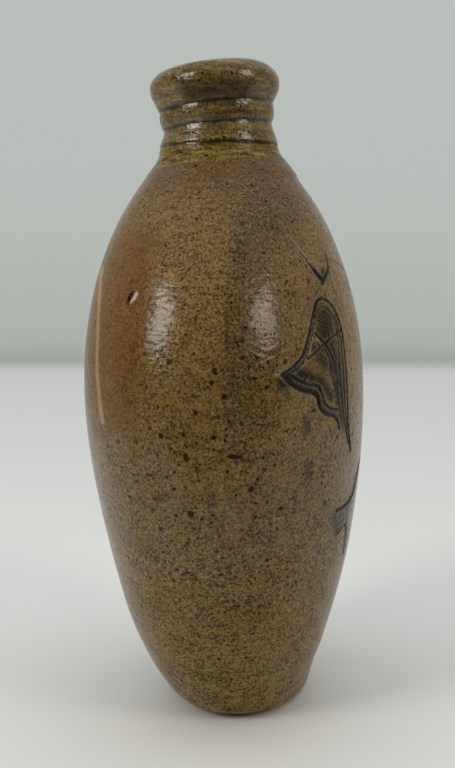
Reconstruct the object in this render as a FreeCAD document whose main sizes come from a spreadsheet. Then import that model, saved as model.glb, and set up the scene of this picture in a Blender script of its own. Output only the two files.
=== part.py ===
import FreeCAD, Part
import math
import os
import Sketcher

# A salt-glazed stoneware flask, thrown on a wheel as a round bottle and pressed flat
# while the clay was soft, so that it has a thin side, a broad side and a round neck.
# +Z is up and the origin is the middle of the flat foot. X runs through the thin side
# and Y across the broad one. The body and its neck lean a little towards -X.
# All sizes are in millimetres and all angles in degrees.

# Driving sizes of the walls, the neck, the lip and the mouth
SIZES = {
    "body_wall": 5.5,
    "shoulder_wall": 7.2,
    "foot_thickness": 42.5,
    "foot_width": 55.5,
    "foot_rounding": 8.5,
    "floor_thickness": 7,
    "end_roundness": 0.7,
    "neck_rise": 7.5,
    "neck_lean": -8,
    "neck_tilt": 4.4,
    "neck_radius": 17.2,
    "waist_radius": 16.1,
    "ring_radius": 17,
    "ring_bulge": 9,
    "low_ring_height": 5.2,
    "middle_ring_height": 4.8,
    "groove_width": 1.3,
    "groove_depth": 0.7,
    "lip_height": 11.2,
    "lip_overhang": 2,
    "lip_rounding": 6.6,
    "bore_radius": 9.5,
    "bore_length": 18.5,
    "mouth_rounding": 2.8,
    "mouth_bulge": 3.5,
}

# Level sections, from the foot up: name, rise above the one below, thickness, width, and
# lean of the middle
SECTIONS = [
    ("heel", 14, 54.5, 71, -3.1),
    ("hip", 22, 68.4, 90.5, -4.2),
    ("flank", 26, 78.8, 104.5, -4.9),
    ("belly", 28, 84.2, 112, -5.9),
    ("chest", 24, 81.6, 107.5, -6.2),
    ("shoulder", 20, 71.4, 89, -6.7),
    ("slope", 16, 56.6, 64, -7.0),
    ("collar", 9, 43.8, 46.5, -7.2),
]
STEEP_SECTIONS = ("slope", "collar")

# Sketcher's numbers for its two axes, for the ends of a line or an arc, and for the point
# where the axes cross
X_AXIS, Y_AXIS = -1, -2
START, END = range(1, 3)
ORIGIN = (X_AXIS, START)

doc = FreeCAD.newDocument("stoneware_flask")


def make_sheet():
    """Puts every driving size in a sheet, in a cell of its own with its name."""
    sheet = doc.addObject("Spreadsheet::Sheet", "sizes")
    rows = list(SIZES.items())
    for name, rise, thickness, width, lean in SECTIONS:
        rows.append((name + "_rise", rise))
        rows.append((name + "_thickness", thickness))
        rows.append((name + "_width", width))
        rows.append((name + "_lean", lean))
    for row, (name, number) in enumerate(rows, start=1):
        sheet.set(f"A{row}", name)
        sheet.set(f"B{row}", str(number))
        sheet.setAlias(f"B{row}", name)
    doc.recompute()
    return sheet


sheet = make_sheet()


def value(formula):
    """Works out a formula of the sheet's sizes, as a plain number."""
    number = sheet.evalExpression(formula)
    return float(getattr(number, "Value", number))


def new_sketch(body, name, plane, shift):
    """Starts a sketch on a plane of the body, moved by formulas of the sizes."""
    sketch = body.newObject("Sketcher::SketchObject", name)
    planes = [item for item in body.Origin.OriginFeatures if item.Role == plane]
    sketch.AttachmentSupport = [(planes[0], "")]
    sketch.MapMode = "FlatFace"
    for direction, formula in shift.items():
        sketch.setExpression("AttachmentOffset.Base." + direction, formula)
    return sketch


def turn_with_neck(sketch, axis, turn):
    """Turns a sketch about an axis of its own by a formula of the neck's tilt."""
    sketch.AttachmentOffset = FreeCAD.Placement(FreeCAD.Vector(), FreeCAD.Rotation(axis, 1))
    sketch.setExpression("AttachmentOffset.Rotation.Angle", turn)


def dimension(sketch, name, formula, kind, *elements):
    """Adds a named dimension to a sketch and ties it to a formula of the sizes."""
    index = sketch.addConstraint(Sketcher.Constraint(kind, *elements, value(formula)))
    sketch.renameConstraint(index, name)
    sketch.setExpression("Constraints." + name, formula)


def arc_through(start, end, radius):
    """The short arc from start to end, turning to the left, with the given radius."""
    chord = end - start
    rise = math.sqrt(radius**2 - (chord.Length / 2) ** 2)
    inward = FreeCAD.Vector(-chord.y, chord.x, 0).normalize()
    middle = (start + end) * 0.5 + inward * rise
    first = math.atan2(start.y - middle.y, start.x - middle.x)
    last = math.atan2(end.y - middle.y, end.x - middle.x)
    circle = Part.Circle(middle, FreeCAD.Vector(0, 0, 1), radius)
    return Part.ArcOfCircle(circle, first, last)


# Heights of the sections and of the neck's root, as sums of the rises up to them


def section_heights():
    """The height of each section above the foot, by its name."""
    heights = {}
    height = "0"
    for name, *_ in SECTIONS:
        height += f" + sizes.{name}_rise"
        heights[name] = height
    return heights


HEIGHTS = section_heights()
NECK_ROOT = f"{list(HEIGHTS.values())[-1]} + sizes.neck_rise"

# Level sections, as ovals of four arcs

# Where the arcs meet, seen from the middle of an end arc: the same for every oval, so
# that each arc of one section faces its own arc of the next
K = "sizes.end_roundness"
MEETING = f"atan(2 * {K} * (1 + {K}) / (1 + 2 * {K}))"


def oval(sketch, thickness, width):
    """Draws an oval of four tangent arcs, thickness along X and width along Y.

    The end arcs shrink and the side arcs grow with the difference of the two sizes,
    so the same drawing is a circle where they are equal.
    """
    spare = f"(({width}) - ({thickness})) / 2"
    end_radius = f"({thickness}) / 2 - {K} * {spare}"
    side_radius = f"({thickness}) / 2 + (1 + 1 / (2 * {K})) * {spare}"
    meeting_x = f"({end_radius}) * cos({MEETING})"
    meeting_y = f"({width}) / 2 - ({end_radius}) * (1 - sin({MEETING}))"
    x, y = value(meeting_x), value(meeting_y)
    corners = [FreeCAD.Vector(x * i, y * j, 0) for i, j in ((1, -1), (1, 1), (-1, 1), (-1, -1))]
    radii = [value(side_radius), value(end_radius)] * 2
    for side in range(4):
        sketch.addGeometry(arc_through(corners[side], corners[(side + 1) % 4], radii[side]))
    for side in range(4):
        joined = Sketcher.Constraint("Coincident", side, END, (side + 1) % 4, START)
        sketch.addConstraint(joined)
    right, far, left, near = range(4)
    sketch.addConstraint(Sketcher.Constraint("Symmetric", right, END, far, END, Y_AXIS))
    sketch.addConstraint(Sketcher.Constraint("Symmetric", right, END, near, END, X_AXIS))
    sketch.addConstraint(Sketcher.Constraint("Symmetric", left, END, near, END, Y_AXIS))
    sketch.addConstraint(Sketcher.Constraint("Equal", right, left))
    sketch.addConstraint(Sketcher.Constraint("Equal", far, near))
    dimension(sketch, "meeting_x", meeting_x, "DistanceX", *ORIGIN, right, END)
    dimension(sketch, "meeting_y", meeting_y, "DistanceY", *ORIGIN, right, END)
    dimension(sketch, "side_radius", side_radius, "Radius", right)
    dimension(sketch, "end_radius", end_radius, "Radius", far)


def level_oval(body, name, height, lean, thickness, width):
    """An oval in a level sketch of its own."""
    sketch = new_sketch(body, name, "XY_Plane", {"x": lean, "z": height})
    oval(sketch, thickness, width)
    return sketch


def neck_circle(body, name, along, radius):
    """A circle square to the leaning neck, some way along it from its root."""
    lean = f"sizes.neck_lean - ({along}) * sin(sizes.neck_tilt)"
    height = f"{NECK_ROOT} + ({along}) * cos(sizes.neck_tilt)"
    sketch = new_sketch(body, name, "XY_Plane", {"x": lean, "z": height})
    turn_with_neck(sketch, FreeCAD.Vector(0, 1, 0), "-sizes.neck_tilt")
    oval(sketch, f"2 * {radius}", f"2 * {radius}")
    return sketch


# Heights along the neck, from its root up
HALF_GROOVE = "sizes.groove_width / 2"
LOW_RING_TOP = "sizes.low_ring_height"
MIDDLE_RING_FOOT = f"{LOW_RING_TOP} + sizes.groove_width"
MIDDLE_RING_TOP = f"{MIDDLE_RING_FOOT} + sizes.middle_ring_height"
LIP_FOOT = f"{MIDDLE_RING_TOP} + sizes.groove_width"
LIP_TOP = f"{LIP_FOOT} + sizes.lip_height"
LIP_WIDEST = f"{LIP_TOP} - sizes.lip_rounding"
BORE_TOP = f"{LIP_TOP} - sizes.mouth_rounding"
BORE_FOOT = f"{BORE_TOP} - sizes.bore_length"


def neck_sketch(body, name):
    """A sketch through the leaning middle line of the neck, which is its vertical axis."""
    shift = {"x": "sizes.neck_lean", "y": NECK_ROOT}
    sketch = new_sketch(body, name, "XZ_Plane", shift)
    turn_with_neck(sketch, FreeCAD.Vector(0, 0, 1), "sizes.neck_tilt")
    return sketch


def draw_profile(sketch, corners):
    """Draws a closed profile beside the axis, corner by corner, and dimensions it.

    A corner is a radius, a height and the edge that leaves it, all as formulas. The edge
    is None for a line, or the radius of an arc that bulges away from the axis.
    """
    places = [FreeCAD.Vector(value(radius), value(height), 0) for radius, height, _ in corners]
    for index, (_, _, edge) in enumerate(corners):
        start, end = places[index], places[(index + 1) % len(places)]
        if edge is None:
            sketch.addGeometry(Part.LineSegment(start, end))
        else:
            sketch.addGeometry(arc_through(start, end, value(edge)))
    for index, (radius, height, edge) in enumerate(corners):
        following = (index + 1) % len(corners)
        sketch.addConstraint(Sketcher.Constraint("Coincident", index, END, following, START))
        if edge is not None:
            dimension(sketch, f"bulge_{index}", edge, "Radius", index)
        if radius == "0":
            sketch.addConstraint(Sketcher.Constraint("PointOnObject", index, START, Y_AXIS))
        else:
            dimension(sketch, f"radius_{index}", radius, "DistanceX", *ORIGIN, index, START)
        dimension(sketch, f"height_{index}", height, "DistanceY", *ORIGIN, index, START)


def add_feature(body, kind, name, **settings):
    """Adds a feature to the body, and makes sure that it adds clay or takes some away."""
    before = 0 if body.Shape.isNull() else body.Shape.Volume
    feature = body.newObject("PartDesign::" + kind, name)
    for setting, content in settings.items():
        setattr(feature, setting, content)
    doc.recompute()
    change = body.Shape.Volume - before
    adds = kind in ("AdditiveLoft", "Revolution")
    if change == 0 or adds != (change > 0):
        raise RuntimeError(f"{name} changed the volume by {change}")
    return feature


def revolve(body, kind, name, sketch):
    """A full turn of a sketch about its vertical axis."""
    axis = (sketch, ["V_Axis"])
    return add_feature(body, kind, name, Profile=sketch, ReferenceAxis=axis, Angle=360)


def edges_on_ground(shape):
    """The names of the edges that lie in the ground plane."""
    near = 0.001
    names = []
    for index, edge in enumerate(shape.Edges, start=1):
        box = edge.BoundBox
        if abs(box.ZMin) < near and abs(box.ZMax) < near:
            names.append(f"Edge{index}")
    return names


# The flask itself, one piece of clay


def press_body(body):
    """The outside of the pressed body, from its oval foot to the round root of the neck."""
    foot = ("foot_outside", "0", "0", "sizes.foot_thickness", "sizes.foot_width")
    sketches = [level_oval(body, *foot)]
    for name, height in HEIGHTS.items():
        thickness, width = f"sizes.{name}_thickness", f"sizes.{name}_width"
        lean = f"sizes.{name}_lean"
        sketches.append(level_oval(body, name + "_outside", height, lean, thickness, width))
    sketches.append(neck_circle(body, "neck_root", "0", "sizes.neck_radius"))
    add_feature(body, "AdditiveLoft", "pressed_body", Profile=sketches[0], Sections=sketches[1:])


def throw_neck(body):
    """The neck: a low ring that narrows upwards, a middle ring and the rolled lip."""
    middle_ring_foot_radius = "(sizes.waist_radius + sizes.ring_radius) / 2"
    rise = f"({LIP_WIDEST} - ({LIP_FOOT}))"
    underside = f"(sizes.lip_overhang^2 + {rise}^2) / (2 * sizes.lip_overhang)"
    lip_radius = "sizes.ring_radius + sizes.lip_overhang"
    low_groove_floor = "sizes.neck_radius - sizes.groove_depth"
    middle_groove_floor = "sizes.waist_radius - sizes.groove_depth"
    high_groove_floor = "sizes.ring_radius - sizes.groove_depth"
    sketch = neck_sketch(body, "neck_profile")
    draw_profile(sketch, [
        ("0", "0", None),
        (low_groove_floor, "0", None),
        ("sizes.neck_radius", HALF_GROOVE, "sizes.ring_bulge"),
        ("sizes.waist_radius", LOW_RING_TOP, None),
        (middle_groove_floor, f"{LOW_RING_TOP} + {HALF_GROOVE}", None),
        (middle_ring_foot_radius, MIDDLE_RING_FOOT, "sizes.ring_bulge"),
        ("sizes.ring_radius", MIDDLE_RING_TOP, None),
        (high_groove_floor, f"{MIDDLE_RING_TOP} + {HALF_GROOVE}", None),
        ("sizes.ring_radius", LIP_FOOT, underside),
        (lip_radius, LIP_WIDEST, "sizes.lip_rounding"),
        (f"{lip_radius} - sizes.lip_rounding", LIP_TOP, None),
        ("0", LIP_TOP, None),
    ])
    return revolve(body, "Revolution", "neck", sketch)


def round_foot(body, thrown):
    """The soft edge between the flat foot and the wall."""
    fillet = body.newObject("PartDesign::Fillet", "round_foot")
    fillet.Base = (thrown, edges_on_ground(thrown.Shape))
    fillet.setExpression("Radius", "sizes.foot_rounding")
    doc.recompute()


def hollow_body(body):
    """The hollow, a wall's thickness inside the body, from the floor up to the bore."""
    thickness = "sizes.foot_thickness - 2 * sizes.body_wall"
    width = "sizes.foot_width - 2 * sizes.body_wall"
    sketches = [level_oval(body, "floor", "sizes.floor_thickness", "0", thickness, width)]
    for name, height in HEIGHTS.items():
        wall = "sizes.shoulder_wall" if name in STEEP_SECTIONS else "sizes.body_wall"
        thickness = f"sizes.{name}_thickness - 2 * {wall}"
        width = f"sizes.{name}_width - 2 * {wall}"
        lean = f"sizes.{name}_lean"
        sketches.append(level_oval(body, name + "_inside", height, lean, thickness, width))
    sketches.append(neck_circle(body, "bore_foot", BORE_FOOT, "sizes.bore_radius"))
    add_feature(body, "SubtractiveLoft", "hollow", Profile=sketches[0], Sections=sketches[1:])


def open_mouth(body):
    """The straight bore for a cork, and the round edge of the mouth."""
    mouth_radius = "sizes.bore_radius + sizes.mouth_rounding"
    above_lip = f"{LIP_TOP} + sizes.mouth_rounding"
    sketch = neck_sketch(body, "mouth_profile")
    draw_profile(sketch, [
        ("0", BORE_FOOT, None),
        ("sizes.bore_radius", BORE_FOOT, None),
        ("sizes.bore_radius", BORE_TOP, "sizes.mouth_bulge"),
        (mouth_radius, LIP_TOP, None),
        (mouth_radius, above_lip, None),
        ("0", above_lip, None),
    ])
    revolve(body, "Groove", "mouth", sketch)


def make_flask():
    """The flask as one body with a node of its own."""
    body = doc.addObject("PartDesign::Body", "flask")
    body.Label = "flask"
    press_body(body)
    thrown = throw_neck(body)
    round_foot(body, thrown)
    hollow_body(body)
    open_mouth(body)
    return body


flask = make_flask()
doc.recompute()
for item in doc.Objects:
    if "Invalid" in item.State or "Error" in item.State:
        raise RuntimeError(f"{item.Label} failed: {item.State}")
for part in (flask,):
    if part.Shape.isNull() or not part.Shape.isValid() or len(part.Shape.Solids) != 1:
        raise RuntimeError(f"{part.Label} is not one valid solid")
os.makedirs("parts", exist_ok=True)
flask.Shape.exportStep(f"parts/{flask.Label}.step")
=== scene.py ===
import math

import bmesh
import bpy
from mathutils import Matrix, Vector, noise
from mathutils.bvhtree import BVHTree
from mathutils.geometry import intersect_point_line
from mathutils.kdtree import KDTree


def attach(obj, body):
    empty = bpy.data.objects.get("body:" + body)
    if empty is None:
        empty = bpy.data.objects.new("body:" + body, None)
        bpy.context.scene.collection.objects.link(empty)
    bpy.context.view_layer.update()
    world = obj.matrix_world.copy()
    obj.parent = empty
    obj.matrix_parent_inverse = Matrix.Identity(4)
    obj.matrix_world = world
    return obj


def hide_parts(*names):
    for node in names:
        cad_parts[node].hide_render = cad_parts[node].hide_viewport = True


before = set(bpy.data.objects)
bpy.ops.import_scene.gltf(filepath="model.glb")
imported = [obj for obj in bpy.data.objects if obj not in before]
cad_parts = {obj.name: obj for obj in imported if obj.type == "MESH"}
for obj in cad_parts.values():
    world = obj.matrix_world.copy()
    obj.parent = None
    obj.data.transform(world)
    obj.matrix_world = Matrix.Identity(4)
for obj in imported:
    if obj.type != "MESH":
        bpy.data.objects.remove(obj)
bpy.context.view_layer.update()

# A salt-glazed stoneware flask on a pale table. Lengths below are in millimetres, and MM
# turns them into metres. +Z is up, +X is the broad face with the incised leaves, and the
# neck leans towards -X.
MM = 0.001

fired_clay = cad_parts["flask"]
clay_wall = BVHTree.FromPolygons(
    [vertex.co for vertex in fired_clay.data.vertices],
    [tuple(face.vertices) for face in fired_clay.data.polygons],
)


def srgb(red, green, blue):
    """A colour as a camera writes it, from 0 to 255, as the linear colour of a shader."""
    linear = []
    for level in (red, green, blue):
        share = level / 255
        linear.append(share / 12.92 if share <= 0.04045 else ((share + 0.055) / 1.055) ** 2.4)
    return (*linear, 1)


# The body and the neck, raised ring by ring from the foot

# Corners of a ring, and how often its faces are split when the clay is smoothed
AROUND = 48
FINENESS = 2

# Where the neck starts and which way it leans
NECK_ROOT = Vector((-8, 0, 166.5)) * MM
NECK_TILT = math.radians(4.4)
NECK_AXIS = Vector((-math.sin(NECK_TILT), 0, math.cos(NECK_TILT)))

# The wall, which is thicker above the start of the shoulder, and the floor of the hollow
# with its half sizes along X and Y
BODY_WALL = 5.5
SHOULDER_WALL = 7.2
SHOULDER_START = 140
FLOOR = 7
FLOOR_HALF = (15.7, 22.2)

# A distance, in metres, that is outside the flask on every side
OUTSIDE = 0.2


def outline_at(height):
    """The middle and the half sizes of the outside at a height, measured on the clay."""
    left, right = (
        clay_wall.ray_cast(Vector((side * OUTSIDE, 0, height)), Vector((-side, 0, 0)))[0].x
        for side in (-1, 1)
    )
    middle = (left + right) / 2
    near = clay_wall.ray_cast(Vector((middle, -OUTSIDE, height)), Vector((0, 1, 0)))[0].y
    return middle, (right - left) / 2, -near


class Rings:
    """Raises a wall ring after ring, and knows the middle and half sizes of the last one."""

    def __init__(self, name, half_x, half_y):
        bpy.ops.object.select_all(action="DESELECT")
        bpy.ops.mesh.primitive_circle_add(vertices=AROUND, radius=half_y, location=(0, 0, 0))
        self.piece = bpy.context.object
        self.piece.name = self.piece.data.name = name
        bpy.ops.object.mode_set(mode="EDIT")
        bpy.ops.mesh.select_all(action="SELECT")
        bpy.ops.transform.resize(value=(half_x / half_y, 1, 1), center_override=(0, 0, 0))
        self.centre = Vector((0, 0, 0))
        self.half = (half_x, half_y)
        self.tilt = 0

    def extrude(self, centre, half_x, half_y, tilt=0):
        """The next ring; a tilt, in degrees, lowers its side towards -X."""
        shift = centre - self.centre
        bpy.ops.mesh.extrude_region_move(TRANSFORM_OT_translate={"value": shift})
        stretch = (half_x / self.half[0], half_y / self.half[1], 1)
        bpy.ops.transform.resize(value=stretch, center_override=centre)
        bpy.ops.transform.rotate(
            value=math.radians(tilt - self.tilt), orient_axis="Y", center_override=centre,
        )
        self.centre, self.half, self.tilt = centre, (half_x, half_y), tilt

    def span(self, height, left, right, half_y):
        """The next ring, a level one, given by how far it reaches each way along X."""
        middle = Vector(((left + right) / 2, 0, height)) * MM
        self.extrude(middle, (right - left) / 2 * MM, half_y)

    def close(self):
        """Draws the last ring together to a point."""
        bpy.ops.mesh.extrude_region_move()
        bpy.ops.mesh.merge(type="CENTER")


# Heights of the body's rings above the foot
BODY_STEPS = (
    17, 23, 30, 39, 49, 59, 69, 79, 89, 99, 109, 118, 125, 131,
    136.5, 141.5, 146, 150, 153.5, 156.5,
)

# The foot and its rounding: the height, how far each side reaches along X, and half the
# width along Y
FOOT_STEPS = (
    (0, -8, 9, 13.5), (0, -14.8, 15.6, 20.6), (0.12, -16.2, 17.0, 21.9),
    (0.7, -18.6, 18.7, 24.4), (1.5, -21.0, 19.6, 27.0), (2.5, -22.9, 20.3, 28.8),
    (5, -24.9, 21.0, 30.6), (8, -26.9, 21.8, 32.3), (12, -29.3, 23.1, 34.5),
)

# Where the body runs into the neck: the height, and how far each side reaches along X
NECK_FLARE = (
    (158.8, -29.6, 15.6), (160.6, -28.0, 14.2), (162.3, -26.9, 12.9), (163.7, -26.2, 11.6),
)

# Creases round the neck: their height along it, and their tilt in degrees
LOW_CREASE = (0.4, 1.2)
MIDDLE_CREASE = (6.2, 4.4)
HIGH_CREASE = (11.8, 5.4)

# The outside of the neck, the lip and the mouth: radius, height along the neck, and tilt
NECK_STEPS = (
    (18.3, -1.9, 1.6), (18.05, -1.1, 1.2), (17.95, -0.3, 1.2), (17.65, *LOW_CREASE),
    (17.8, 0.9, 1.3), (17.65, 1.7, 2.0), (17.3, 2.7, 2.9), (16.95, 3.7, 3.7),
    (16.6, 4.6, 4.2), (16.4, 5.2, 4.4), (16.35, 5.8, 4.4), (16.15, *MIDDLE_CREASE),
    (16.45, 6.6, 4.4), (16.8, 7.3, 4.4), (17.1, 8.3, 4.4), (17.25, 9.3, 4.6),
    (17.25, 10.3, 5.0), (17.2, 11.2, 5.4), (17.0, *HIGH_CREASE), (17.35, 12.4, 5.4),
    (17.8, 13.2, 5.2), (18.2, 14.1, 4.8), (18.7, 15.0, 4.4), (19.15, 16.0, 4.4),
    (19.4, 17.0, 4.4), (19.5, 18.0, 4.4), (19.45, 19.0, 4.4), (19.15, 20.0, 4.4),
    (18.6, 20.9, 4.4), (17.85, 21.8, 4.4), (16.8, 22.6, 4.4), (15.4, 23.3, 4.4),
    (13.9, 23.65, 4.4), (12.5, 23.6, 4.4), (11.2, 23.1, 4.4), (10.3, 22.3, 4.4),
    (9.8, 21.3, 4.4), (9.5, 20.0, 4.4), (9.5, 14.0, 4.4), (9.5, 8.0, 4.4), (9.5, 3.2, 4.4),
)

# Heights of the hollow's rings, from the shoulder down
HOLLOW_STEPS = (160, 150, 138, 122, 102, 78, 52, 30, 14)


def throw_flask():
    """The whole skin of the flask, outside and inside, as one closed mesh."""
    rings = Rings("salt_glazed_flask", 4 * MM, 6 * MM)
    for height, left, right, half_y in FOOT_STEPS:
        rings.span(height, left, right, half_y * MM)
    for height in BODY_STEPS:
        middle, half_x, half_y = outline_at(height * MM)
        rings.extrude(Vector((middle, 0, height * MM)), half_x, half_y)
    for height, left, right in NECK_FLARE:
        rings.span(height, left, right, outline_at(height * MM)[2])
    for radius, height, tilt in NECK_STEPS:
        rings.extrude(NECK_ROOT + NECK_AXIS * (height * MM), radius * MM, radius * MM, tilt)
    for height in HOLLOW_STEPS:
        middle, half_x, half_y = outline_at(height * MM)
        thick = (SHOULDER_WALL if height > SHOULDER_START else BODY_WALL) * MM
        rings.extrude(Vector((middle, 0, height * MM)), half_x - thick, half_y - thick)
    for share in (1, 0.6, 0.25):
        half_x, half_y = (half * share * MM for half in FLOOR_HALF)
        rings.extrude(Vector((0, 0, FLOOR * MM)), half_x, half_y)
    rings.close()
    bpy.ops.mesh.select_all(action="DESELECT")
    bpy.ops.mesh.select_non_manifold(extend=False)
    rings.close()
    bpy.ops.mesh.select_all(action="SELECT")
    bpy.ops.mesh.normals_make_consistent(inside=False)
    bpy.ops.object.mode_set(mode="OBJECT")
    return rings.piece


# The body lies on the true wall between two heights. The foot and the neck keep the
# rings' own shape, and are in a group of this name
TRUE_WALL = (14, 158)
BY_HAND = "shaped_by_hand"

# How far from the rings the true wall may lie, and how wide and deep the thumbs pressed
WALL_REACH = 2.5
THUMB_WIDTH = 32
THUMB_DEPTH = 0.5


def apply_modifier(piece, kind, **settings):
    """Adds a modifier with its settings and applies it."""
    modifier = piece.modifiers.new(kind.lower(), kind)
    for name, setting in settings.items():
        setattr(modifier, name, setting)
    bpy.context.view_layer.objects.active = piece
    bpy.ops.object.modifier_apply(modifier=modifier.name)


def smooth_the_clay(piece):
    """Rounds the rings, lays the body on the true wall and makes the wall a little uneven."""
    group = piece.vertex_groups.new(name=BY_HAND)
    low, high = (height * MM for height in TRUE_WALL)
    by_hand = [vertex.index for vertex in piece.data.vertices if not low < vertex.co.z < high]
    group.add(by_hand, 1, "REPLACE")
    elsewhere = {"vertex_group": BY_HAND, "invert_vertex_group": True}
    apply_modifier(piece, "SUBSURF", levels=FINENESS, render_levels=FINENESS)
    apply_modifier(
        piece, "SHRINKWRAP", target=fired_clay, wrap_method="PROJECT",
        use_negative_direction=True, use_positive_direction=True, project_limit=WALL_REACH * MM,
        **elsewhere,
    )
    apply_modifier(piece, "SMOOTH", factor=0.5, iterations=3, **elsewhere)
    clouds = bpy.data.textures.new("thumb_pressure", "CLOUDS")
    clouds.noise_scale = THUMB_WIDTH * MM
    clouds.noise_depth = 1
    apply_modifier(
        piece, "DISPLACE", texture=clouds, texture_coords="LOCAL",
        strength=THUMB_DEPTH * MM, mid_level=0.6,
    )


# The incised leaves on the broad face, drawn in wet clay and filled with cobalt

# Each line: its half width, depth and share of cobalt at its first point and at its last,
# and its course over the face as points across the face (Y) and up (Z)
INCISED = (
    ((0.45, 0.40, 0.85), (0.60, 0.45, 1.00), (
        (-28.3, 123.5), (-31.1, 122.3), (-34.7, 117.8), (-37.9, 112.7), (-40.5, 108.6),
        (-43.4, 105.9), (-46.4, 104.2))),
    ((0.30, 0.25, 0.50), (0.35, 0.25, 0.70), (
        (-28.5, 121.2), (-31.6, 120.3), (-34.1, 117.1), (-37.3, 112), (-39.8, 107.9),
        (-42.3, 105.6), (-44.5, 104.3))),
    ((0.45, 0.40, 0.80), (0.45, 0.35, 1.00), (
        (-28.3, 123.5), (-25.6, 122.1), (-23.6, 119.2), (-22.5, 114.3), (-22.5, 108.7),
        (-22.3, 103.1), (-22.3, 97.5), (-21.9, 91.7), (-21.2, 86.6), (-18.6, 79.7))),
    ((0.35, 0.30, 0.70), (0.40, 0.30, 0.90), (
        (-27.6, 120.8), (-25.6, 118), (-25.5, 113.1), (-26, 107.6), (-26.4, 102.1),
        (-26.1, 97.2), (-25.3, 92.2), (-23.4, 87), (-20.7, 82.2))),
    ((0.25, 0.20, 0.60), (0.30, 0.25, 0.80), (
        (-24.6, 118.6), (-24.1, 113), (-24.2, 107), (-24.4, 100), (-23.8, 93), (-22.4, 87))),
    ((0.30, 0.20, 0.50), (0.30, 0.25, 0.80), (
        (-28.2, 109.9), (-28.6, 103.8), (-28.3, 98.2), (-27.5, 93.9), (-25.9, 89.5))),
    ((0.65, 0.45, 1.00), (0.45, 0.40, 0.90), (
        (-45.9, 103.5), (-43.6, 101), (-41.5, 99.8), (-39.2, 99), (-37.2, 97.8),
        (-36.3, 95.1), (-34.4, 92.8), (-30.5, 91.4), (-28.3, 89.8), (-27.1, 87.2))),
    ((0.45, 0.35, 0.90), (0.35, 0.30, 0.80), (
        (-44.8, 104.2), (-42.7, 102.5), (-39.9, 101.2), (-36.6, 100.2), (-35.1, 97.7),
        (-34.2, 95.5), (-31.8, 93.7), (-28.4, 92.9))),
    ((0.35, 0.25, 0.70), (0.40, 0.28, 0.85), (
        (-39.1, 107.8), (-36.2, 109.4), (-32.4, 111.3), (-27.9, 113), (-23.3, 114.4))),
    ((0.38, 0.28, 0.80), (0.32, 0.22, 0.65), (
        (-35, 114.1), (-33.6, 112.6), (-31.8, 110.7), (-30.2, 108.4), (-29.2, 105.2),
        (-28.7, 103.1))),
    ((0.30, 0.25, 0.60), (0.20, 0.15, 0.40), ((-29.2, 105.2), (-30.7, 103.3), (-32.3, 102.4))),
    ((0.28, 0.20, 0.90), (0.22, 0.15, 0.80), ((-32.8, 117.6), (-30.6, 116.1), (-29.8, 112.8))),
    ((0.28, 0.20, 0.90), (0.22, 0.15, 0.80), ((-31, 118.9), (-28.6, 117.2), (-27.6, 114))),
    ((0.26, 0.20, 0.90), (0.22, 0.15, 0.80), ((-35.2, 111.8), (-33.4, 109.2), (-32.9, 106.6))),
    ((0.22, 0.18, 0.60), (0.20, 0.15, 0.50), ((-29, 108.6), (-27.2, 106.2), (-26.6, 102.4))),
    ((0.22, 0.18, 0.60), (0.20, 0.15, 0.60), ((-28.4, 101.6), (-26.9, 99.6), (-25.4, 98.9))),
    ((0.22, 0.18, 0.50), (0.20, 0.15, 0.60), ((-31.3, 98.2), (-29.8, 96.2), (-27.8, 95.4))),
    ((0.25, 0.10, 0.10), (0.70, 0.45, 1.00), (
        (-29.1, 140.3), (-28.4, 137), (-27.9, 134.8), (-27.3, 132.3), (-26.4, 129.9),
        (-25.2, 128.4))),
    ((0.35, 0.30, 0.60), (0.55, 0.40, 0.95), (
        (-17.5, 136.1), (-18.1, 134.3), (-19.4, 131.6), (-22.3, 129.5), (-25.8, 127.2))),
    ((0.35, 0.30, 0.80), (0.20, 0.15, 0.40), (
        (-19.1, 132.3), (-20.2, 128.8), (-20.7, 125.9), (-19.8, 123.1))),
    ((0.25, 0.20, 0.15), (0.20, 0.15, 0.05), (
        (-15.8, 133.6), (-9, 132.4), (-3, 129.8), (-6.3, 124.9))),
    ((0.45, 0.40, 0.85), (0.55, 0.40, 1.00), (
        (-4.4, 73.2), (-8, 70.1), (-11.2, 65.5), (-18, 63.4), (-24, 63.2))),
    ((0.35, 0.30, 0.80), (0.35, 0.30, 0.60), (
        (-20.4, 55.4), (-16.9, 57), (-14.4, 55.9), (-12.4, 51.3), (-11.3, 47.2))),
)

# Where the cobalt ran or was laid on without a line, written in the same way
COBALT_WASHES = (
    ((1.4, 0, 0.90), (0.9, 0, 0.90), ((-45.4, 103.6), (-42.6, 102.9), (-40.9, 102.4))),
    ((1.1, 0, 1.00), (1.0, 0, 0.90), ((-46.9, 102.2), (-45.6, 101.8))),
    ((1.3, 0, 0.85), (0.9, 0, 0.70), (
        (-42, 101.4), (-40, 100.3), (-37.2, 99), (-35.6, 96.4), (-33.2, 93.6), (-29.5, 92.2))),
    ((1.1, 0, 0.70), (1.6, 0, 1.00), ((-26.6, 131.6), (-25.4, 128.6), (-22.8, 130))),
    ((2.2, 0, 0.60), (2.0, 0, 0.60), ((-24.6, 61.8), (-23.2, 58.8), (-21, 56.6))),
    ((0.8, 0, 0.80), (1.1, 0, 0.90), ((-21.4, 86), (-19.6, 82), (-18.6, 79.7))),
    ((1.2, 0, 0.45), (1.9, 0, 0.75), (
        (-24.4, 119), (-24.3, 108), (-24.3, 100), (-23.9, 92), (-21.6, 85.4))),
)

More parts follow.
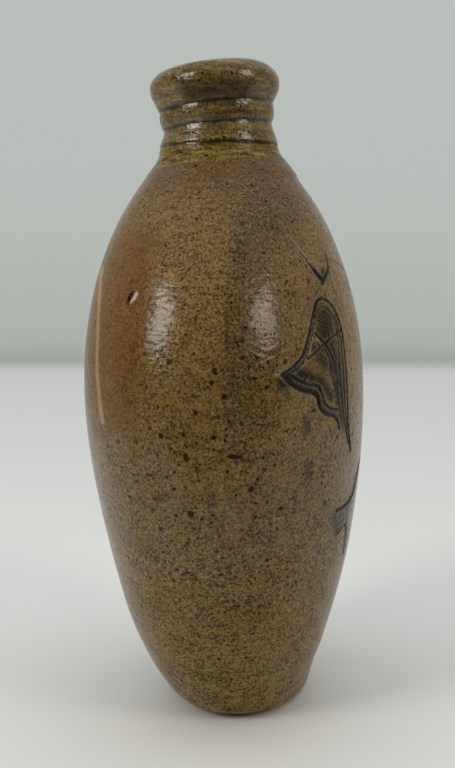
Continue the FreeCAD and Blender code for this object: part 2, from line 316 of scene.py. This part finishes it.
# Thin cobalt that tints the clay inside the leaves, written in the same way
COBALT_TINTS = (
    ((6.0, 0, 0.70), (3.6, 0, 0.65), (
        (-29.8, 117.5), (-31, 113), (-30.2, 108), (-28.4, 102), (-26.6, 95), (-24, 89))),
    ((1.8, 0, 0.60), (2.4, 0, 0.60), ((-36.6, 110.6), (-35.4, 108.6), (-33.2, 106))),
    ((2.2, 0, 0.70), (2.0, 0, 0.55), (
        (-43.2, 104.4), (-40.6, 103.6), (-38.4, 102.2), (-35, 100.6), (-31.6, 97))),
    ((1.4, 0, 0.70), (2.2, 0, 0.75), ((-4.4, 73.2), (-8, 70.1), (-11.2, 65.5), (-15.5, 63))),
    ((2.4, 0, 0.60), (2.4, 0, 0.50), ((-20.5, 60.5), (-16, 59), (-12.5, 55), (-10, 48))),
)

# How far apart a line's points are, how much its edge wavers, how high the clay is raised
# beside it for its depth, how far from it the clay still moves, and the height above which
# the face has lines
LINE_SPACING = 0.25
WAVER = 0.13
RAISED = 0.4
LINE_REACH = 3
LINES_START = 40

# How near to the lines, and then to the chip, the faces are split, once for each reach
LINE_SPLITS = (1.2, 0.75, 0.35)
CHIP_SPLITS = (5, 3.6, 2.8)

# The chip in the shoulder: a small hollow with a painted shadow in it and a pale flake
# beside it, as chains of places, and how far from its heart the clay still moves
CHIP = ((-25.2, -44.4, 122.4), (-25.1, -43.8, 123.8), (-24.2, -44.0, 125.2))
FLAKE = ((-24.0, -45.1, 122.7), (-23.1, -45.3, 123.6), (-22.6, -45.1, 124.9))
CHIP_REACH = 6


def smooth_course(points):
    """Evenly spaced points along a smooth curve through the given ones."""
    ends = [Vector(points[0]) * 2 - Vector(points[1]), Vector(points[-1]) * 2 - Vector(points[-2])]
    knots = [ends[0], *(Vector(point) for point in points), ends[1]]
    course = []
    for before, start, end, after in zip(knots, knots[1:], knots[2:], knots[3:]):
        steps = max(2, round((end - start).length / LINE_SPACING))
        for step in range(steps):
            t = step / steps
            course.append(0.5 * (
                2 * start + (end - before) * t + (2 * before - 5 * start + 4 * end - after) * t**2
                + (3 * start - before - 3 * end + after) * t**3
            ))
    course.append(knots[-2])
    return course


def on_broad_face(across, height):
    """The place on the broad face straight in from +X."""
    return clay_wall.ray_cast(Vector((OUTSIDE, across * MM, height * MM)), Vector((-1, 0, 0)))[0]


def lay_out(lines):
    """A tree of the lines' points on both halves of the face, and each point's strength.

    The strength holds the point's half width, its depth and its share of cobalt, which
    change evenly from a line's first point to its last.
    """
    places, strengths = [], []
    for first, last, points in lines:
        course = smooth_course(points)
        for index, (across, height) in enumerate(course):
            share = index / (len(course) - 1)
            strength = [a + (b - a) * share for a, b in zip(first, last)]
            for side in (1, -1):
                places.append(on_broad_face(side * across, height))
                strengths.append(strength)
    tree = KDTree(len(places))
    for index, place in enumerate(places):
        tree.insert(place, index)
    tree.balance()
    return tree, strengths


def split_faces(piece, is_near):
    """Splits the faces of the piece that a test finds near enough."""
    bpy.ops.object.mode_set(mode="EDIT")
    bpy.ops.mesh.select_mode(type="FACE")
    bpy.ops.mesh.select_all(action="DESELECT")
    mesh = bmesh.from_edit_mesh(piece.data)
    for face in mesh.faces:
        face.select_set(is_near(face))
    bmesh.update_edit_mesh(piece.data)
    bpy.ops.mesh.subdivide(number_cuts=1, smoothness=0)
    bpy.ops.object.mode_set(mode="OBJECT")


def near_line(face, lines, reach):
    """Whether a face of the broad face's half lies within a reach of the lines."""
    centre = face.calc_center_median()
    size = math.sqrt(face.calc_area())
    return centre.x >= 0 and lines.find(centre)[2] < reach * MM + size * 0.7


def hump(distance, width):
    """A smooth hump, 1 in the middle and near 0 a width away."""
    return math.exp(-((distance / width) ** 2))


def cut_lines(piece):
    """Cuts the lines into the clay with a raised edge beside them, lays the cobalt, and marks the
    raised edge for a painted highlight.
    """
    lines, line_strengths = lay_out(INCISED)
    laid_on = [lay_out(COBALT_WASHES), lay_out(COBALT_TINTS)]
    for reach in LINE_SPLITS:
        split_faces(piece, lambda face: near_line(face, lines, reach))
    cobalt = piece.data.attributes.new("cobalt", "FLOAT", "POINT")
    furrow = piece.data.attributes.new("furrow", "FLOAT", "POINT")
    moves = []
    for vertex in piece.data.vertices:
        if vertex.co.x < 0 or vertex.co.z < LINES_START * MM:
            continue
        _, index, distance = lines.find(vertex.co)
        distance = abs(distance / MM + WAVER * noise.noise(vertex.co / MM))
        tint = 0
        if distance < LINE_REACH:
            half, depth, strength = line_strengths[index]
            cut = hump(distance, half)
            rim = hump(distance - 1.8 * half, 0.5 * half)
            moves.append((vertex, vertex.normal * (RAISED * depth * rim - depth * cut) * MM))
            # Where the raised edge beside the line gets a painted highlight
            furrow.data[vertex.index].value = (rim - cut) * min(1, depth * 3)
            tint = strength * hump(distance, 1.2 * half)
        for washes, wash_strengths in laid_on:
            _, index, distance = washes.find(vertex.co)
            half, _, strength = wash_strengths[index]
            tint = max(tint, strength * hump(distance / MM, half))
        cobalt.data[vertex.index].value = tint
    for vertex, move in moves:
        vertex.co += move


def chip_shoulder(piece):
    """Knocks the small chip out of the shoulder."""
    heart = Vector(CHIP[1]) * MM
    for reach in CHIP_SPLITS:
        split_faces(
            piece, lambda face: (face.calc_center_median() - heart).length < reach * MM,
        )
    for vertex in piece.data.vertices:
        if (vertex.co - heart).length > CHIP_REACH * MM:
            continue
        for places, width, depth in ((CHIP, 0.7, 0.7), (FLAKE, 0.6, -0.25)):
            start, end = Vector(places[0]) * MM, Vector(places[-1]) * MM
            _, share = intersect_point_line(vertex.co, start, end)
            share = min(1, max(0, share))
            gap = (vertex.co - start.lerp(end, share)).length / MM
            vertex.co -= vertex.normal * (depth * hump(gap, width) * MM)


flask = throw_flask()
smooth_the_clay(flask)
cut_lines(flask)
chip_shoulder(flask)
bpy.ops.object.select_all(action="DESELECT")
flask.select_set(True)
bpy.context.view_layer.objects.active = flask
bpy.ops.object.shade_smooth()
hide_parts("flask")
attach(flask, "root")


# Shader maths


class Wire:
    """A number, colour or place that a node gives, with Python's arithmetic for numbers."""

    def __init__(self, recipe, socket):
        self.recipe = recipe
        self.socket = socket

    def math(self, operation, *numbers, clamp=False):
        """The result of a sum on numbers or wires."""
        settings = {"operation": operation, "use_clamp": clamp}
        return self.recipe.add("ShaderNodeMath", settings, dict(enumerate(numbers)))

    def __add__(self, other):
        return self.math("ADD", self, other)

    def __sub__(self, other):
        return self.math("SUBTRACT", self, other)

    def __mul__(self, other):
        return self.math("MULTIPLY", self, other)

    def __truediv__(self, other):
        return self.math("DIVIDE", self, other)

    def __rsub__(self, other):
        return self.math("SUBTRACT", other, self)

    def __rpow__(self, other):
        return self.math("POWER", other, self)

    __radd__ = __add__
    __rmul__ = __mul__

    def clamped(self):
        return self.math("ADD", self, 0, clamp=True)

    def size(self):
        """The number without its sign."""
        return self.math("ABSOLUTE", self)

    def smallest(self, other):
        return self.math("MINIMUM", self, other)

    def largest(self, other):
        return self.math("MAXIMUM", self, other)

    def rise(self, start, end):
        """0 up to the start, 1 from the end on, and smooth between."""
        low, high = (0, 1) if start < end else (1, 0)
        values = {
            "Value": self, "From Min": min(start, end), "From Max": max(start, end),
            "To Min": low, "To Max": high,
        }
        return self.recipe.add("ShaderNodeMapRange", {"interpolation_type": "SMOOTHSTEP"}, values)


class Recipe:
    """The nodes of one material or of the room's light."""

    def __init__(self, owner):
        owner.use_nodes = True
        self.tree = owner.node_tree
        self.tree.nodes.clear()

    def add(self, kind, settings=None, values=None, output=0):
        """A node of a type, with its settings and the values or links of its sockets."""
        node = self.tree.nodes.new(kind)
        for name, setting in (settings or {}).items():
            if name == "stops":
                self.set_stops(node.color_ramp, setting)
            else:
                setattr(node, name, setting)
        for name, value in (values or {}).items():
            if isinstance(value, Wire):
                self.tree.links.new(value.socket, node.inputs[name])
            else:
                node.inputs[name].default_value = value
        return Wire(self, node.outputs[output]) if node.outputs else None

    def set_stops(self, ramp, stops):
        """Puts the stops, each a position and a colour, on a colour ramp."""
        while len(ramp.elements) < len(stops):
            ramp.elements.new(1)
        for element, (position, colour) in zip(ramp.elements, stops):
            element.position, element.color = position, colour

    def mix(self, share, first, second):
        """One colour laid over another by a share, a number or a wire."""
        values = {0: share, 6: first, 7: second}
        return self.add("ShaderNodeMix", {"data_type": "RGBA"}, values, output=2)

    def vector(self, operation, values, output=0):
        """The result of a sum on places or directions."""
        return self.add("ShaderNodeVectorMath", {"operation": operation}, values, output)

    def parts(self, vector):
        """The three numbers of a place or a colour."""
        return [
            self.add("ShaderNodeSeparateXYZ", {}, {0: vector}, output=axis) for axis in range(3)
        ]

    def noise(self, point, size, detail, roughness):
        """Soft random grain, whose spots are about a size across, in millimetres."""
        values = {"Vector": point, "Scale": 1 / size, "Detail": detail, "Roughness": roughness}
        return self.add("ShaderNodeTexNoise", {}, values)

    def spots(self, point, size, chance, radius, softness, roughen=0):
        """Spots in some of the cells of a size; 1 in a spot, 0 between."""
        values = {"Vector": point, "Scale": 1 / size}
        distance = self.add("ShaderNodeTexVoronoi", {}, values, output="Distance")
        lot = self.add("ShaderNodeTexVoronoi", {}, values, output="Color")
        lots = self.parts(lot)
        reach = (0.4 + 0.6 * lots[1]) * (radius / size)
        mask = ((reach - distance + roughen) * (size / softness)).clamped()
        return mask * lots[0].rise(1 - chance, 1 - chance * 0.8)

    def near_chain(self, point, places):
        """The distance in millimetres from a chain of straight stretches."""
        nearest = None
        for start, end in zip(places, places[1:]):
            along = Vector(end) - Vector(start)
            offset = self.vector("SUBTRACT", {0: point, 1: start})
            per_length = tuple(along / along.length_squared)
            share = self.vector("DOT_PRODUCT", {0: offset, 1: per_length}, "Value").clamped()
            foot = self.vector("SCALE", {0: tuple(along), "Scale": share})
            gap = self.vector("DISTANCE", {0: offset, 1: foot}, "Value")
            nearest = gap if nearest is None else nearest.smallest(gap)
        return nearest


# The salt glaze

# Colours of the clay under the glaze by height above the foot, with painted light in them:
# lighter towards the shoulder, where more light falls from above, and at the foot, where the
# table throws light back, and darker about the middle; and the height at which their scale ends
BODY_COLOURS_AND_LIGHT = (
    (0, srgb(112, 87, 41)), (30, srgb(108, 82, 36)), (60, srgb(100, 76, 33)),
    (90, srgb(106, 79, 33)), (112, srgb(111, 82, 35)), (135, srgb(115, 87, 40)),
    (150, srgb(107, 78, 35)), (158, srgb(100, 71, 34)),
)
BODY_TOP = 192

# Marks in the glaze, as chains of places: the pale streak down the -X side, the olive spot
# on the shoulder, painted shade under the lip's front and the dark smudge on the shoulder
STREAK = (
    (-38.2, -22.8, 130.8), (-36.9, -30.7, 122.5), (-36, -35.8, 113.1), (-35.6, -38.4, 102.9),
    (-34.7, -40, 96.2), (-33.4, -41.4, 90.3),
)
OLIVE_SPOT = ((-16.8, -33.6, 146), (-16.6, -33.7, 145.6))
LIP_SHADE = ((-13.5, -17.0, 181.2), (-5, -18.5, 181), (3, -15.5, 181.4))
SMUDGE = ((12, -26, 149), (6, -38, 139), (5, -49, 118), (4, -53, 100))

# Stains and large specks, each with its radius and its chain of places
STAINS = (
    (2.0, ((22.2, -40.6, 91), (22.4, -40.4, 88.4))),
    (1.8, ((22.6, -39.1, 79.4), (22.8, -38.9, 76.2))),
    (1.4, ((24.6, -31.3, 85.4), (24.9, -31.3, 82.8))),
)
BIG_SPECKS = (
    (0.9, ((-6.7, -53.3, 68), (-6.5, -53.3, 68.2))),
    (0.8, ((-7.5, -55.5, 83.6), (-7.3, -55.5, 83.2))),
    (0.7, ((3.9, -54, 83.9), (6.6, -53.4, 83.5))),
    (0.8, ((14, -44.8, 69.6), (14.2, -44.6, 69.2))),
)


class Glaze(Recipe):
    """The salt glaze: the grains and masks that its coats share, and the coats."""

    def __init__(self, owner):
        super().__init__(owner)
        place = self.add("ShaderNodeTexCoord", output="Object")
        self.point = self.vector("SCALE", {0: place, "Scale": 1 / MM})
        self.aside = self.vector("ADD", {0: self.point, 1: (40, 70, 20)})
        self.x, _, self.z = self.parts(self.point)
        self.cloud = self.noise(self.point, 26, 3, 0.55)
        self.patch = self.noise(self.point, 9, 3, 0.6)
        self.mottle = self.noise(self.point, 3.4, 2, 0.6)
        self.grain = self.noise(self.point, 1.0, 2, 0.8)
        self.fine = self.noise(self.point, 0.5, 1, 0.6)
        self.wandering = self.z + (self.cloud - 0.5) * 16 + (self.patch - 0.5) * 5

        # The height along the neck, the same with a ragged edge, and where its glaze starts
        self.level = self.vector("DOT_PRODUCT", {0: self.point, 1: tuple(NECK_AXIS)}, "Value")
        self.neck = self.level + (self.patch - 0.5) * 2.4 + (self.mottle - 0.5) * 1.2
        self.glazed = self.neck.rise(160.9, 161.8)

        # The bare red-brown flash on the -X side
        flash_edge = self.x + (self.cloud - 0.5) * 10 + (self.patch - 0.5) * 4
        flash = flash_edge.rise(-14, -24) * self.wandering.rise(78, 96)
        self.flash = flash * self.wandering.rise(150, 136)

        # How strong the grain is, and what is both coloured and dry
        calm = (1 - self.flash * 0.5) * (1 - self.neck.rise(146, 157) * 0.35)
        self.calm = calm * (1 + self.z.rise(75, 50) * 0.25)
        self.pits = self.spots(self.point, 0.85, 0.5, 0.4, 0.12)
        self.iron = self.iron_specks()
        # Painted shade under the lip's front, where it faces down, as a ragged mask
        self.lip_shade = self.mark(LIP_SHADE, 2.6, 2.6, (self.mottle - 0.5) * 2)
        laid = self.add("ShaderNodeAttribute", {"attribute_name": "cobalt"}, output="Fac")
        thick = 1.5 + (self.grain - 0.5) * 2.4 + (self.fine - 0.5) * 0.8
        self.cobalt = (laid * thick).clamped()

    def drawn_out(self, across, up, detail, roughness):
        """Grain drawn out in level rows, by how fine it is across and up."""
        point = self.vector("MULTIPLY", {0: self.point, 1: (across, across, up)})
        return self.noise(point, 1, detail, roughness)

    def mark(self, places, radius, softness, roughen=0):
        """A painted mark along a chain of places, 1 inside it and 0 outside."""
        gap = self.near_chain(self.point, places) + roughen
        return gap.rise(radius + softness, radius - softness)

    def iron_specks(self):
        """Specks of three sizes, the middle ones in crowds, and the large ones by place."""
        crowd = self.wandering.rise(30, 66) * self.wandering.rise(132, 104)
        small = self.spots(self.aside, 2.3, 0.6, 0.62, 0.12)
        large = self.spots(self.point, 3.4, 0.6, 0.95, 0.25, (self.fine - 0.5) * 0.35) * crowd
        crowded = (self.patch + self.cloud * 0.5).rise(0.7, 0.82) * self.wandering.rise(24, 60)
        between = self.spots(self.aside, 1.5, 0.8, 0.5, 0.15, (self.fine - 0.5) * 0.4) * crowded
        iron = small.largest(large).largest(between)
        for radius, places in BIG_SPECKS:
            iron = iron.largest(self.mark(places, radius, 0.25, (self.fine - 0.5) * 0.8))
        return iron * (1 - self.flash * 0.75)

    def clay_and_light(self):
        """The clay's brown with painted light by height in it, with the flash, the smudge and
        mauve-brown under the neck.
        """
        # The height scale holds painted light as well as the clay's colours
        stops = [(height / BODY_TOP, colour) for height, colour in BODY_COLOURS_AND_LIGHT]
        clay_and_light = self.add("ShaderNodeValToRGB", {"stops": stops}, {0: self.wandering / BODY_TOP})
        clay_and_light = self.mix(self.flash * 0.8, clay_and_light, srgb(102, 68, 27))
        gap = self.near_chain(self.point, SMUDGE) + (self.patch - 0.5) * 12
        smudge = gap.rise(15, 2) * (self.x + (self.patch - 0.5) * 4).rise(0, 3)
        clay_and_light = self.mix(smudge * (0.5 + (self.mottle - 0.5) * 0.8), clay_and_light, srgb(50, 37, 19))
        return self.mix(self.neck.rise(149, 158) * 0.6, clay_and_light, srgb(94, 61, 30))

    def olive(self):
        """The neck's olive-brown, with dark and pale ribbons round it."""
        olive = self.mix(self.mottle.rise(0.36, 0.62), srgb(132, 107, 40), srgb(92, 69, 20))
        olive = self.mix(self.neck.rise(166, 172) * 0.5, olive, srgb(94, 71, 29))
        olive = self.mix(self.neck.rise(180, 186) * 0.5, olive, srgb(100, 80, 42))
        ribbons = self.drawn_out(0.16, 0.7, 3, 0.7)
        olive = self.mix(ribbons.rise(0.5, 0.38) * 0.7, olive, srgb(52, 34, 7))
        return self.mix(ribbons.rise(0.51, 0.63) * 0.6, olive, srgb(146, 124, 78))

    def with_grain(self, colour):
        """Dark pits and pale beads in the skin of salt, the beads made greyer with painted glints.
        """
        lines = self.drawn_out(0.12, 1.3, 1, 0.5)
        shade = (self.mottle - 0.5) * 2.2 + (self.grain - 0.5) * 4.8
        shade = shade + (self.fine - 0.5) * 2.6 + (lines - 0.5) * 1.2
        brightness = 2.718 ** (self.calm * shade.smallest(0.32))
        shades = {"Hue": 0.5, "Saturation": 1, "Value": brightness, "Fac": 1, "Color": colour}
        colour = self.add("ShaderNodeHueSaturation", {}, shades)
        colour = self.mix(self.pits * self.calm * 0.75, colour, srgb(28, 13, 2))
        # Pale beads of salt, made greyer with painted glints
        pale_beads_and_glints = self.noise(self.aside, 0.8, 2, 0.7).rise(0.5, 0.66)
        return self.mix(pale_beads_and_glints * self.calm * 0.42, colour, srgb(160, 140, 104))

    def with_marks(self, colour):
        """Iron specks, pale flecks and the larger marks, with painted shade under the lip and a
        painted shadow in the chip.
        """
        colour = self.mix(self.iron * 0.92, colour, srgb(24, 14, 4))
        for radius, places in STAINS:
            stain = self.mark(places, radius - 0.3, 0.8, (self.grain - 0.5) * 4)
            colour = self.mix(stain * 0.75, colour, srgb(46, 30, 12))
        fleck = self.spots(self.point, 2.4, 0.25, 0.36, 0.14)
        colour = self.mix(fleck * self.calm * 0.5, colour, srgb(176, 158, 122))
        ragged = (self.fine - 0.5) * 0.8 + (self.mottle - 0.5) * 1.5
        colour = self.mix(self.mark(STREAK, 1.3, 0.5, ragged) * 0.8, colour, srgb(162, 126, 82))
        spot = self.mark(OLIVE_SPOT, 1.5, 0.6, (self.grain - 0.5) * 1.5)
        colour = self.mix(spot * 0.6, colour, srgb(128, 108, 50))
        # Painted shade under the lip's front
        colour = self.mix(self.lip_shade * 0.65, colour, srgb(36, 22, 4))
        colour = self.mix(self.mark(FLAKE, 0.5, 0.4), colour, srgb(186, 162, 128))
        # Painted shadow in the chip's hollow
        chip_shadow = self.mark(CHIP, 0.7, 0.35, (self.fine - 0.5) * 0.5)
        return self.mix(chip_shadow, colour, srgb(20, 8, 3))

    def with_crease_pools_and_shade(self, colour):
        """Dark glaze pooled in the creases round the neck, with painted shade in them as well."""
        for height, tilt in (LOW_CREASE, MIDDLE_CREASE, HIGH_CREASE):
            turn = math.radians(tilt)
            heart = tuple(NECK_ROOT / MM + NECK_AXIS * height)
            offset = self.vector("SUBTRACT", {0: self.point, 1: heart})
            up = (-math.sin(turn), 0, math.cos(turn))
            gap = self.vector("DOT_PRODUCT", {0: offset, 1: up}, "Value").size()
            # Dark glaze pooled in the crease, with painted shade in it
            pool_and_shade = (gap + (self.mottle - 0.5) * 2.4).rise(0.85, 0.0)
            colour = self.mix(pool_and_shade * 0.9, colour, srgb(18, 9, 1))
        return colour

    def with_cobalt(self, colour):
        """Cobalt in and round the incised lines, and a painted highlight on the clay raised beside
        them.
        """
        furrow = self.add("ShaderNodeAttribute", {"attribute_name": "furrow"}, output="Fac")
        blue_black = self.mix(self.cobalt, srgb(38, 42, 36), srgb(12, 14, 12))
        colour = self.mix(self.cobalt * 0.95, colour, blue_black)
        # Painted highlight on the clay raised beside the lines
        return self.mix(furrow.clamped() * 0.5, colour, srgb(140, 128, 100))

    def skin(self, colour):
        """The surface: beads of salt, rows left by the throwing, and glossy or dry glaze."""
        rows = self.drawn_out(0.3, 0.8, 1, 0.4)
        beads = self.noise(self.point, 1.3, 2, 0.5)
        relief = beads * (0.07 + self.glazed * 0.05) + rows * 0.2
        relief = relief + self.grain * 0.03 - self.iron * 0.02
        bump = self.add("ShaderNodeBump", {}, {"Strength": 1, "Distance": MM, "Height": relief})
        rough = 0.21 + (self.grain - 0.5) * 0.4 + self.cobalt * 0.05 - self.glazed * 0.04
        surface = {"Base Color": colour, "Roughness": rough.clamped(), "Normal": bump}
        glossy, dry = (
            self.add("ShaderNodeBsdfPrincipled", {}, {**surface, "Specular IOR Level": shine})
            for shine in (0.5, 0.08)
        )
        dryness = 0.4 + self.flash * 0.5 + (self.patch - 0.5) * 1.2 + self.iron * 0.4
        # The painted shade under the lip is made drier too
        dryness = dryness + self.cobalt * 0.5 + self.lip_shade * 0.7 + self.pits * 0.5
        dryness = dryness + self.z.rise(70, 30) * 0.35
        dryness = dryness - self.glazed * (0.3 - self.level.rise(167.3, 166.6) * 0.9)
        return self.add("ShaderNodeMixShader", {}, {0: dryness.clamped(), 1: glossy, 2: dry})


def make_salt_glaze():
    """The material of the whole flask, coat over coat."""
    material = bpy.data.materials.new("salt_glaze")
    glaze = Glaze(material)
    colour = glaze.mix(glaze.glazed, glaze.clay_and_light(), glaze.olive())
    for coat in (glaze.with_grain, glaze.with_marks, glaze.with_crease_pools_and_shade, glaze.with_cobalt):
        colour = coat(colour)
    glaze.add("ShaderNodeOutputMaterial", {}, {"Surface": glaze.skin(colour)})
    return material


flask.data.materials.clear()
flask.data.materials.append(make_salt_glaze())


# Table, backdrop, lights and camera

# The photograph's lens and the camera's place, seen from the middle of the foot
LENS = 46.875
VIEW_AZIMUTH = math.radians(9)
VIEW_PITCH = math.radians(7.2)
CAMERA_DISTANCE = 305.2
CAMERA_HEIGHT = 134.3
CAMERA_SIDESTEP = -5.35
TO_CAMERA = Vector((math.sin(VIEW_AZIMUTH), -math.cos(VIEW_AZIMUTH), 0))
TO_RIGHT = Vector((math.cos(VIEW_AZIMUTH), math.sin(VIEW_AZIMUTH), 0))

# In metres: half the table's side, how wide its edge fades, and where its front ends
TABLE_HALF = 1.03
TABLE_FADE = 0.2
TABLE_FRONT = 0.32

# The windows: how far each is turned from the camera's side and lifted, in degrees, its
# distance in metres, and the middle of the flask, which they face
WINDOW_TURN = 56
WINDOW_LIFT = 28
WINDOW_DISTANCE = 1.0
FLASK_MIDDLE = Vector((0, 0, 0.1))

# Light from the room: low and high at the sides and the back, and from the front
SIDES_LOW = (0.26, 0.28, 0.29, 1)
SIDES_HIGH = (1.7, 1.77, 1.84, 1)
ROOM_FRONT = (0.03, 0.03, 0.03, 1)

# Colours of the wall behind, by the sine of the direction's height over the horizon
WALL_COLOURS = (
    (-0.110, srgb(157, 162, 156)), (-0.097, srgb(160, 165, 159)), (-0.082, srgb(171, 176, 170)),
    (-0.042, srgb(177, 182, 176)), (0.017, srgb(182, 187, 181)), (0.075, srgb(184, 189, 185)),
    (0.230, srgb(187, 191, 187)),
)


def place_camera():
    """The camera where the photograph was taken from."""
    camera_data = bpy.data.cameras.new("camera")
    camera_data.lens = LENS
    camera_data.clip_start = 0.01
    camera = bpy.data.objects.new("camera", camera_data)
    bpy.context.scene.collection.objects.link(camera)
    place = TO_CAMERA * CAMERA_DISTANCE + TO_RIGHT * CAMERA_SIDESTEP
    camera.location = (place + Vector((0, 0, CAMERA_HEIGHT))) * MM
    camera.rotation_euler = (math.pi / 2 - VIEW_PITCH, 0, VIEW_AZIMUTH)
    bpy.context.scene.camera = camera


def lay_table():
    """A white table whose edges melt into the wall behind."""
    bpy.ops.object.select_all(action="DESELECT")
    bpy.ops.mesh.primitive_plane_add(size=2 * TABLE_HALF, rotation=(0, 0, VIEW_AZIMUTH))
    bpy.ops.object.transform_apply(location=True, rotation=True, scale=True)
    table = bpy.context.object
    table.name = "table"
    material = bpy.data.materials.new("table_white")
    recipe = Recipe(material)
    place = recipe.add("ShaderNodeTexCoord", output="Object")
    forward, across = (
        recipe.vector("DOT_PRODUCT", {0: place, 1: tuple(way)}, "Value")
        for way in (TO_CAMERA, TO_RIGHT)
    )
    edge = forward.size().largest(across.size()).largest(forward + TABLE_HALF - TABLE_FRONT)
    top = recipe.add("ShaderNodeBsdfPrincipled", {}, {
        "Base Color": srgb(214, 214, 210), "Roughness": 0.55, "Specular IOR Level": 0.3,
    })
    clear = recipe.add("ShaderNodeBsdfTransparent")
    values = {0: edge.rise(TABLE_HALF - TABLE_FADE, TABLE_HALF), 1: top, 2: clear}
    surface = recipe.add("ShaderNodeMixShader", {}, values)
    recipe.add("ShaderNodeOutputMaterial", {}, {"Surface": surface})
    table.data.materials.append(material)


def add_window(name, side, size, power, colour):
    """A soft light that faces the flask, to the left (-1) or the right (1) of the camera."""
    data = bpy.data.lights.new(name, "AREA")
    data.shape = "RECTANGLE"
    data.size, data.size_y = size
    data.energy = power
    data.color = colour
    light = bpy.data.objects.new(name, data)
    bpy.context.scene.collection.objects.link(light)
    turn, lift = math.radians(side * WINDOW_TURN), math.radians(WINDOW_LIFT)
    level = TO_CAMERA * math.cos(turn) + TO_RIGHT * math.sin(turn)
    away = level * math.cos(lift) + Vector((0, 0, math.sin(lift)))
    light.location = away * WINDOW_DISTANCE + FLASK_MIDDLE
    light.rotation_euler = away.to_track_quat("Z", "Y").to_euler()


def light_the_room():
    """Two windows at the sides, a pale room round the back and a dim one in front."""
    add_window("window_left", -1, (0.33, 0.44), 4.7, (1, 0.97, 0.9))
    add_window("window_right", 1, (0.35, 0.44), 3.0, (1, 0.9, 0.78))
    world = bpy.data.worlds.new("room")
    bpy.context.scene.world = world
    recipe = Recipe(world)
    way = recipe.add("ShaderNodeTexCoord", output="Generated")
    height = recipe.parts(way)[2]
    low, high = WALL_COLOURS[0][0], WALL_COLOURS[-1][0]
    stops = [((level - low) / (high - low), colour) for level, colour in WALL_COLOURS]
    wall = recipe.add("ShaderNodeValToRGB", {"stops": stops}, {0: (height - low) / (high - low)})
    front = recipe.vector("DOT_PRODUCT", {0: way, 1: tuple(TO_CAMERA)}, "Value")
    dim = front.rise(-0.2, 0.8)
    sideways = recipe.vector("DOT_PRODUCT", {0: way, 1: tuple(TO_RIGHT)}, "Value").size()
    wall = recipe.mix(sideways.rise(0.3, 0.7) * 0.5, wall, srgb(198, 180, 154))
    wall = recipe.mix(dim, wall, srgb(112, 114, 112))
    sides = recipe.mix(height.rise(0.3, 1), SIDES_LOW, SIDES_HIGH)
    room = recipe.mix(dim, sides, ROOM_FRONT)
    seen = recipe.add("ShaderNodeLightPath", output="Is Camera Ray")
    for ray in ("Is Glossy Ray", "Is Transmission Ray"):
        seen = seen.largest(recipe.add("ShaderNodeLightPath", output=ray))
    values = {"Color": recipe.mix(seen, room, wall), "Strength": 1}
    background = recipe.add("ShaderNodeBackground", {}, values)
    recipe.add("ShaderNodeOutputWorld", {}, {"Surface": background})


place_camera()
lay_table()
light_the_room()
bpy.context.scene.view_settings.view_transform = "Standard"
